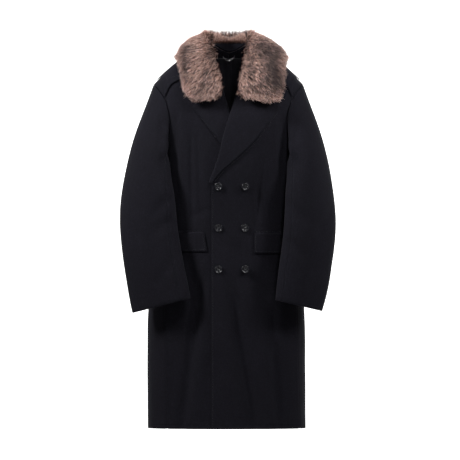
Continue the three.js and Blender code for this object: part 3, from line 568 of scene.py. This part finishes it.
def make_stitches(surface, thread_look):
    """Short spindles of thread, one to a stitch, in one mesh."""
    spindle = np.array([(-1, 0, 0), (0, 1, 0), (0, 0, 1), (0, -1, 0), (0, 0, -1), (1, 0, 0)]) * 0.5
    spindle *= (STITCH_LENGTH, STITCH_HALF_WIDTH * 2, STITCH_HALF_WIDTH * 2)
    sides = [(0, 2, 1), (0, 3, 2), (0, 4, 3), (0, 1, 4), (5, 1, 2), (5, 2, 3), (5, 3, 4), (5, 4, 1)]
    views = [
        (FRONT_ROWS, (0, 2), 1, Vector((0, 1, 0))), (BACK_ROWS, (0, 2), 1, Vector((0, -1, 0))),
        (TOP_ROWS, (0, 1), 2, Vector((0, 0, -1))),
    ]
    corners, faces = [], []
    for rows, axes, deep, look in views:
        for row in rows:
            before = None
            for point in along_row(row, axes):
                point[deep] = -0.5 * look[deep]
                hit, normal, _, _ = surface.ray_cast(Vector(point), look)
                if hit is None or (before and (hit - before).length > 0.02):
                    before = None
                    continue
                if before is not None:
                    lie = (hit - before).normalized()
                    across = normal.cross(lie).normalized()
                    turn = np.array([lie, across, lie.cross(across)])
                    faces += [tuple(len(corners) + i for i in side) for side in sides]
                    corners += (spindle @ turn + np.array(hit)).tolist()
                before = hit
    mesh = bpy.data.meshes.new("edge_stitches")
    mesh.from_pydata(corners, [], faces)
    for polygon in mesh.polygons:
        polygon.use_smooth = True
    add_piece("edge_stitches", mesh, thread_look, "wool")


# Fur: a dark pelt under many thin hairs, which are made as joined meshes and gathered into locks
FUR_SHEETS = 4
HAIRS_PER_SHEET = 31000
FUR_LOCKS = 8200
NECK_HAIRS = 6000
NECK_SEAM_Z = 0.003
PELT_DEPTH = 0.016         # how far at most the pelt lies under the reach of the tips
NECK_MIDDLE = np.array([0.008, 0.0, 0.0])
# The fur's own dark patches; those on the +x side are made stronger as painted shade, since the lamps light
# that side less.
DARK_PATCHES_AND_SHADE = [
    # x, z, half width across and up, and how dark
    (-0.112, -0.060, 0.011, 0.042, 0.95),
    (-0.100, -0.018, 0.020, 0.016, 0.55),
    (-0.060, -0.100, 0.016, 0.030, 0.60),
    (-0.078, -0.130, 0.012, 0.018, 0.45),
    (-0.045, -0.040, 0.014, 0.030, 0.35),
    (0.116, -0.070, 0.024, 0.052, 1.15),
    (0.134, -0.112, 0.020, 0.024, 0.90),
    (0.090, -0.015, 0.026, 0.028, 0.80),
    (0.080, -0.125, 0.018, 0.018, 0.55),
    (0.128, -0.022, 0.016, 0.020, 0.55),
    (0.062, -0.075, 0.012, 0.030, 0.45),
]
BACK_PATCHES = [
    # the same, behind the neck
    (-0.060, -0.050, 0.024, 0.034, 0.80),
    (0.020, -0.085, 0.030, 0.020, 0.60),
    (0.090, -0.030, 0.020, 0.036, 0.80),
]


def neighbour_average(mesh, values, rounds):
    """Evens out one value a vertex over the mesh's edges."""
    ends = np.empty(len(mesh.edges) * 2, dtype=int)
    mesh.edges.foreach_get("vertices", ends)
    a, b = ends[0::2], ends[1::2]
    count = np.bincount(ends, minlength=len(values))
    for _ in range(rounds):
        total = np.bincount(a, values[b], len(values)) + np.bincount(b, values[a], len(values))
        values = 0.5 * values + 0.5 * total / np.maximum(count, 1)
    return values


def make_pelt(material):
    """The collar's form drawn in on every side; returns its mesh and how far in each vertex is."""
    mesh = fine_copy("collar_fur", 2)
    points = points_of(mesh)
    points[:, 0] += 0.012 * np.clip((-0.105 - points[:, 0]) / 0.05, 0, 1)
    inner_edge = np.clip((0.085 - points[:, 0]) / 0.03, 0, 1) * np.clip(points[:, 0] / 0.02, 0, 1)
    points[:, 0] -= 0.010 * inner_edge * np.clip((0.03 - points[:, 1]) / 0.03, 0, 1)
    low_corner = np.clip((points[:, 0] - 0.08) / 0.05, 0, 1) * np.clip((-0.10 - points[:, 2]) / 0.05, 0, 1)
    points += low_corner[:, None] * np.array([0.008, 0.0, -0.006])
    normals = np.empty(len(points) * 3)
    mesh.vertices.foreach_get("normal", normals)
    normals = normals.reshape(-1, 3)
    tree = BVHTree.FromPolygons(points.tolist(), [tuple(polygon.vertices) for polygon in mesh.polygons])
    depth = np.empty(len(points))
    for i, (point, normal) in enumerate(zip(points, normals)):
        hit = tree.ray_cast(Vector(point - normal * 0.0004), Vector(-normal))
        depth[i] = min(PELT_DEPTH, 0.42 * hit[3]) if hit[0] is not None else 0.002
    depth = neighbour_average(mesh, depth, 6)
    set_points(mesh, points - normals * depth[:, None])
    paint = mesh.color_attributes.new("hair", "FLOAT_COLOR", "POINT")
    paint.data.foreach_set("color", np.tile([0.10, 0.3, 0.5, 1.0], len(points)))
    add_piece("fur_pelt", mesh, material, "fur", "collar_fur")
    return mesh, depth


def sample_pelt(mesh, depth, count, rng):
    """Places, normals and depths spread evenly over the pelt, without its underside."""
    mesh.calc_loop_triangles()
    corners = np.empty(len(mesh.loop_triangles) * 3, dtype=int)
    mesh.loop_triangles.foreach_get("vertices", corners)
    corners = corners.reshape(-1, 3)
    points = points_of(mesh)[corners]
    vertex_normals = np.empty(len(mesh.vertices) * 3)
    mesh.vertices.foreach_get("normal", vertex_normals)
    bends = vertex_normals.reshape(-1, 3)[corners]
    cross = np.cross(points[:, 1] - points[:, 0], points[:, 2] - points[:, 0])
    area = np.linalg.norm(cross, axis=1)
    normals = cross / np.maximum(area, 1e-12)[:, None]
    chest = np.array([0.006, 0.0, -0.17])
    outward = unit(points.mean(axis=1) - chest)
    in_sight = np.einsum("ij,ij->i", normals, outward) > -0.62
    at_neck = (points.mean(axis=1)[:, 1] > 0.03) & (normals[:, 1] < -0.3)
    weight = area * (in_sight | at_neck)
    picks = rng.choice(len(weight), size=count, p=weight / weight.sum())
    u, v = rng.random(count), rng.random(count)
    over = u + v > 1
    u[over], v[over] = 1 - u[over], 1 - v[over]
    shares = np.stack([1 - u - v, u, v], axis=1)
    place = np.einsum("ij,ijk->ik", shares, points[picks])
    normal = unit(np.einsum("ij,ijk->ik", shares, bends[picks]))
    return place, normal, np.einsum("ij,ij->i", shares, depth[corners[picks]])


def unit(vectors):
    return vectors / np.maximum(np.linalg.norm(vectors, axis=1), 1e-9)[:, None]


def patch_and_shade_darkness(places):
    """How dark the pelt is at each place, from the tables of patches: the fur's own dark patches, made stronger
    on the +x side in front as painted shade.
    """
    total = np.zeros(len(places))
    front = places[:, 1] < 0.035
    for patches, chosen in ((DARK_PATCHES_AND_SHADE, front), (BACK_PATCHES, ~front)):
        for x, z, wide, high, dark in patches:
            gap = ((places[:, 0] - x) / wide) ** 2 + ((places[:, 2] - z) / high) ** 2
            total += np.where(chosen, dark * np.exp(-gap), 0)
    return total


def hair_tips(roots, normals, depth, rng):
    """Where hairs end: out from the pelt, combed away from the neck, down in front and up behind."""
    away = roots - NECK_MIDDLE
    behind = np.clip((roots[:, 1] - 0.02) / 0.03, 0, 1)
    away[:, 2] = 0.55 * away[:, 2] - 0.025 + 0.10 * behind
    away[:, 1] *= 1 - 0.6 * behind
    lie = unit(away)
    lie = unit(lie - normals * np.einsum("ij,ij->i", lie, normals)[:, None])
    fringe = behind * np.clip(2 * normals[:, 2] - 0.3, 0, 1)
    reach = depth + rng.uniform(-0.002, 0.0065, len(roots)) + 0.008 * fringe
    along = rng.uniform(0.011, 0.025, len(roots)) * np.clip(depth / PELT_DEPTH, 0.4, 1)
    stray = rng.normal(size=(len(roots), 3)) * 0.0017
    return roots + normals * reach[:, None] + lie * along[:, None] + stray


def make_locks(pelt, depth):
    """Locks of hair: a finder of their roots, with their tips, shades and tones."""
    rng = np.random.default_rng(7)
    roots, normals, depths = sample_pelt(pelt, depth, FUR_LOCKS, rng)
    tips = hair_tips(roots, normals, depths, rng) + rng.normal(size=(FUR_LOCKS, 3)) * 0.0022
    finder = KDTree(FUR_LOCKS)
    for i, root in enumerate(roots):
        finder.insert(root, i)
    finder.balance()
    fringe = np.clip((roots[:, 1] - 0.02) / 0.03, 0, 1) * np.clip(2 * normals[:, 2] - 0.3, 0, 1)
    # the fur's own dark patches with painted shade on the +x side, darker hairs along the top behind, and
    # random tone
    shades = patch_and_shade_darkness(roots) + 0.9 * fringe + rng.normal(size=FUR_LOCKS) * 0.16
    return finder, tips, shades, rng.random(FUR_LOCKS)


def hair_ribbons(name, roots, bow, tips, tones, shades, material, rng, *nodes):
    """One mesh of flat tapering hairs, each bent over its bow point."""
    count = len(roots)
    side = unit(np.cross(tips - roots, rng.normal(size=(count, 3))))
    width = rng.uniform(0.00021, 0.00044, count)
    steps = np.array([0.0, 0.40, 0.75, 1.0])
    spread = (1.0, 0.85, 0.5)
    rows = []
    for step in steps:
        rows.append(roots * (1 - step) ** 2 + bow * 2 * step * (1 - step) + tips * step**2)
    ribbon = []
    for spine, wide in zip(rows, spread):
        ribbon += [spine - side * (width * wide)[:, None], spine + side * (width * wide)[:, None]]
    points = np.stack([*ribbon, rows[-1]], axis=1)
    per_hair = points.shape[1]
    base = (np.arange(count) * per_hair)[:, None]
    quads = np.concatenate([base + np.array([0, 1, 3, 2]), base + np.array([2, 3, 5, 4])])
    ends = base + np.array([4, 5, 6])
    mesh = bpy.data.meshes.new(name)
    mesh.vertices.add(count * per_hair)
    mesh.vertices.foreach_set("co", points.ravel())
    mesh.loops.add(quads.size + ends.size)
    mesh.loops.foreach_set("vertex_index", np.concatenate([quads.ravel(), ends.ravel()]))
    mesh.polygons.add(len(quads) + len(ends))
    starts = np.concatenate([np.arange(len(quads)) * 4, quads.size + np.arange(len(ends)) * 3])
    mesh.polygons.foreach_set("loop_start", starts)
    mesh.update(calc_edges=True)
    colour = np.ones((count, per_hair, 4))
    colour[:, :, 0] = np.repeat(steps, (2, 2, 2, 1))[None, :]
    colour[:, :, 1] = tones[:, None]
    colour[:, :, 2] = np.clip(shades, 0, 1)[:, None]
    paint = mesh.color_attributes.new("hair", "FLOAT_COLOR", "POINT")
    paint.data.foreach_set("color", colour.ravel())
    return add_piece(name, mesh, material, "fur", *nodes)


def make_hairs(name, pelt, depth, locks, material, seed):
    """One sheet of hairs, each partly gathered to the tip of its nearest lock."""
    rng = np.random.default_rng(seed)
    count = HAIRS_PER_SHEET
    finder, lock_tips, lock_shades, lock_tones = locks
    roots, normals, depths = sample_pelt(pelt, depth, count, rng)
    nearest = np.array([finder.find(root)[1] for root in roots])
    gathered = rng.uniform(0.25, 0.75, count)[:, None]
    tips = hair_tips(roots, normals, depths, rng) * (1 - gathered) + lock_tips[nearest] * gathered
    bow = roots + normals * (depths * 0.75)[:, None]
    tones = (0.4 * lock_tones[nearest] + 0.6 * rng.random(count)) ** 1.3
    dark_hairs = 0.7 * (rng.random(count) < 0.14)
    shades = lock_shades[nearest] + rng.normal(size=count) * 0.12 + dark_hairs
    hair_ribbons(name, roots, bow, tips, tones, shades, material, rng, "collar_fur")


def make_neck_hairs(material):
    """Shorter hair that stands up on the inside of the collar, behind the neck."""
    rng = np.random.default_rng(31)
    bm = bmesh.new()
    bm.from_mesh(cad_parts["collar_stand"].data)
    bmesh.ops.triangulate(bm, faces=bm.faces)
    corners = np.array([[tuple(vert.co) for vert in face.verts] for face in bm.faces])
    bm.free()
    cross = np.cross(corners[:, 1] - corners[:, 0], corners[:, 2] - corners[:, 0])
    area = np.linalg.norm(cross, axis=1)
    normals = cross / np.maximum(area, 1e-12)[:, None]
    middle = corners.mean(axis=1)
    weight = area * (normals[:, 1] < -0.5) * (middle[:, 1] > 0.02)
    picks = rng.choice(len(weight), size=3 * NECK_HAIRS, p=weight / weight.sum())
    shares = rng.dirichlet((1, 1, 1), len(picks))
    roots = np.einsum("ij,ijk->ik", shares, corners[picks])
    kept = roots[:, 2] > NECK_SEAM_Z + 0.004 * rng.random(len(roots))
    roots, normals = roots[kept][:NECK_HAIRS], normals[picks][kept][:NECK_HAIRS]
    count = len(roots)
    tall = rng.uniform(0.010, 0.020, count)
    tips = roots + normals * rng.uniform(0.002, 0.006, count)[:, None] + rng.normal(size=(count, 3)) * 0.0016
    tips[:, 2] += tall
    bow = roots + normals * 0.005
    bow[:, 2] += 0.4 * tall
    tones = rng.random(count) ** 1.1
    shades = 0.15 + rng.normal(size=count) * 0.15 + 0.8 * np.clip((tips[:, 2] - 0.036) / 0.008, 0, 1)
    hair_ribbons("fur_neck", roots, bow, tips, tones, shades, material, rng, "collar_fur")


def make_button_mesh():
    """A dished disc with a rounded rim and four holes, its back on the plane z = 0."""
    rim = [
        (0.0, 0.0), (0.0092, 0.0), (0.0108, 0.0006), (0.0114, 0.0018), (0.0113, 0.0030), (0.0106, 0.0038),
        (0.0097, 0.0040), (0.0088, 0.0037), (0.0080, 0.0030), (0.0070, 0.0026), (0.0, 0.0024),
    ]
    bm = bmesh.new()
    spine = [bm.verts.new((x, 0, z)) for x, z in rim]
    edges = [bm.edges.new(pair) for pair in zip(spine, spine[1:])]
    bmesh.ops.spin(
        bm, geom=spine + edges, cent=(0, 0, 0), axis=(0, 0, 1), angle=math.tau, steps=48, use_merge=True,
    )
    bmesh.ops.remove_doubles(bm, verts=bm.verts, dist=0.000005)
    bmesh.ops.recalc_face_normals(bm, faces=bm.faces)
    disc = bpy.data.meshes.new("button_disc")
    bm.to_mesh(disc)
    bm.free()
    hole_offset, hole_radius = 0.0021, 0.00105
    cutter_bm = bmesh.new()
    for i in range(4):
        angle = math.pi / 4 + i * math.pi / 2
        out = hole_offset * 1.414
        where = Matrix.Translation((math.cos(angle) * out, math.sin(angle) * out, 0.002))
        bmesh.ops.create_cone(
            cutter_bm, cap_ends=True, segments=14, radius1=hole_radius, radius2=hole_radius,
            depth=0.01, matrix=where,
        )
    cutter_mesh = bpy.data.meshes.new("button_cutter")
    cutter_bm.to_mesh(cutter_mesh)
    cutter_bm.free()
    carrier = link(bpy.data.objects.new("button_carrier", disc))
    cutter = link(bpy.data.objects.new("button_cutter", cutter_mesh))
    boolean = carrier.modifiers.new("holes", "BOOLEAN")
    boolean.object = cutter
    boolean.operation = "DIFFERENCE"
    boolean.solver = "EXACT"
    depsgraph = bpy.context.evaluated_depsgraph_get()
    drilled = bpy.data.meshes.new_from_object(carrier.evaluated_get(depsgraph))
    bpy.data.objects.remove(carrier)
    bpy.data.objects.remove(cutter)
    return drilled


def button_place(node):
    """Where a CAD button's back is, and the way it faces."""
    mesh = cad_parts[node].data
    way = Vector((0, 0, 0))
    for polygon in mesh.polygons:
        if polygon.normal.y < -0.5:
            way += polygon.normal * polygon.area
    way.normalize()
    low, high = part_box(node)
    middle = (Vector(low) + Vector(high)) / 2
    lowest = min((v.co - middle).dot(way) for v in mesh.vertices)
    turn = Vector((0, 0, 1)).rotation_difference(way).to_matrix().to_4x4()
    return Matrix.Translation(middle + way * lowest) @ turn


def make_button(node, disc, horn_look, thread_look):
    place = button_place(node)
    mesh = disc.copy()
    mesh.transform(place)
    for polygon in mesh.polygons:
        polygon.use_smooth = polygon.area > 0
    add_piece(node + "_horn", mesh, horn_look, "button", node)
    bm = bmesh.new()
    offset = 0.0021
    for turn in (0, 1):
        for shift in (-1, 1):
            bar = Matrix.Rotation(turn * math.pi / 2, 4, "Z") @ Matrix.Translation((0, shift * offset, 0.0027))
            lie = bar @ Matrix.Rotation(math.pi / 2, 4, "Y")
            bmesh.ops.create_cone(
                bm, cap_ends=True, segments=10, radius1=0.00045, radius2=0.00045, depth=0.0046, matrix=lie,
            )
    bmesh.ops.create_cone(
        bm, cap_ends=True, segments=14, radius1=0.0026, radius2=0.0022, depth=0.0020,
        matrix=Matrix.Translation((0, 0, -0.0002)),
    )
    bmesh.ops.transform(bm, matrix=place, verts=bm.verts)
    stitches = bpy.data.meshes.new(node + "_thread")
    bm.to_mesh(stitches)
    bm.free()
    add_piece(node + "_thread", stitches, thread_look, "button")


def make_chain(steel):
    """Small round links, each turned a quarter from the last, along the sagging chain."""
    vertices = np.array([v.co[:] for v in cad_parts["hanger_chain"].data.vertices])
    order = np.argsort(vertices[:, 0])
    spine = np.array([group.mean(axis=0) for group in np.array_split(vertices[order], 13)])
    lengths = np.concatenate([[0], np.cumsum(np.linalg.norm(np.diff(spine, axis=0), axis=1))])
    link_count = 23
    ring_radius, wire_radius = 0.00100, 0.00032
    bm = bmesh.new()
    for i in range(link_count):
        at = lengths[-1] * (i + 0.5) / link_count
        middle = Vector([np.interp(at, lengths, spine[:, k]) for k in range(3)])
        ahead = Vector([np.interp(at + 0.001, lengths, spine[:, k]) for k in range(3)])
        behind = Vector([np.interp(at - 0.001, lengths, spine[:, k]) for k in range(3)])
        along = (ahead - behind).to_track_quat("X", "Z").to_matrix().to_4x4()
        spin_about = Matrix.Rotation(math.radians(50 if i % 2 else -40), 4, "X")
        stretch = Matrix.Diagonal((1.35, 1.0, 1.0, 1.0))
        made = bmesh.ops.create_circle(bm, segments=8, radius=wire_radius)["verts"]
        raise_ring = Matrix.Translation((ring_radius, 0, 0)) @ Matrix.Rotation(math.pi / 2, 4, "X")
        bmesh.ops.transform(bm, matrix=raise_ring, verts=made)
        edges = list({edge for vert in made for edge in vert.link_edges})
        before = set(bm.verts) - set(made)
        bmesh.ops.spin(
            bm, geom=made + edges, cent=(0, 0, 0), axis=(0, 0, 1), angle=math.tau, steps=18, use_merge=True,
        )
        new = [vert for vert in bm.verts if vert not in before]
        bmesh.ops.transform(bm, matrix=Matrix.Translation(middle) @ along @ spin_about @ stretch, verts=new)
    bmesh.ops.remove_doubles(bm, verts=bm.verts, dist=0.000002)
    bmesh.ops.recalc_face_normals(bm, faces=bm.faces)
    mesh = bpy.data.meshes.new("hanger_links")
    bm.to_mesh(mesh)
    bm.free()
    for polygon in mesh.polygons:
        polygon.use_smooth = True
    add_piece("hanger_links", mesh, steel, "chain", "hanger_chain")


def make_backdrop():
    """A pale floor with a painted glow that rises behind the coat, and a white wall far behind that glows
    evenly.
    """
    material, tree, shader = node_material("paper_white_painted_glow")
    coords = tree.nodes.new("ShaderNodeTexCoord")
    grain = noise(tree, coords, 3, 2, 0.5)
    colour = ramp(tree, grain.outputs["Fac"], [(0.2, (0.84, 0.84, 0.84)), (0.8, (0.88, 0.88, 0.88))])
    tree.links.new(colour.outputs["Color"], shader.inputs["Base Color"])
    shader.inputs["Roughness"].default_value = 0.9
    # painted light: the floor glows faintly in front and fully from 1.3 m behind the coat on, and the wall
    # glows fully
    shader.inputs["Emission Color"].default_value = (1, 1, 1, 1)
    place = tree.nodes.new("ShaderNodeSeparateXYZ")
    tree.links.new(coords.outputs["Object"], place.inputs["Vector"])
    glow = add_node(tree, "ShaderNodeMapRange", interpolation_type="SMOOTHSTEP")
    glow.inputs["From Min"].default_value = 0.6
    glow.inputs["From Max"].default_value = 1.3
    glow.inputs["To Min"].default_value = 0.02
    glow.inputs["To Max"].default_value = 1.0
    tree.links.new(place.outputs["Y"], glow.inputs["Value"])
    tree.links.new(glow.outputs["Result"], shader.inputs["Emission Strength"])
    near, wall_y, wall_reach = 9.0, 22.0, 40.0
    plates = {
        "floor": [(-near, -near, FLOOR_Z), (near, -near, FLOOR_Z), (near, 5.0, FLOOR_Z),
                  (wall_reach, wall_y, FLOOR_Z), (-wall_reach, wall_y, FLOOR_Z), (-near, 5.0, FLOOR_Z)],
        "wall": [(-wall_reach, wall_y, FLOOR_Z), (wall_reach, wall_y, FLOOR_Z),
                 (wall_reach, wall_y, wall_reach), (-wall_reach, wall_y, wall_reach)],
    }
    for name, corners in plates.items():
        bm = bmesh.new()
        bm.faces.new([bm.verts.new(corner) for corner in corners])
        mesh = bpy.data.meshes.new(name)
        bm.to_mesh(mesh)
        bm.free()
        mesh.materials.append(material)
        link(bpy.data.objects.new(name, mesh))


place_camera()
light_studio()
make_backdrop()

wool = melton()
cloth = [cloth_piece(node, wool) for node in WOOL_PIECES]
make_lining(satin())
thread_look = thread()
make_stitches(sewn_surface([piece for piece in cloth if not piece.name.startswith("sleeve")]), thread_look)

fur = fur_material()
pelt, pelt_depth = make_pelt(fur)
locks = make_locks(pelt, pelt_depth)
for sheet_number in range(FUR_SHEETS):
    make_hairs(f"fur_hair_{sheet_number + 1}", pelt, pelt_depth, locks, fur, seed=20 + sheet_number)
make_neck_hairs(fur)

button_disc = make_button_mesh()
horn_look = horn()
for number in range(1, 7):
    make_button(f"button_{number}", button_disc, horn_look, thread_look)
make_chain(polished_steel())
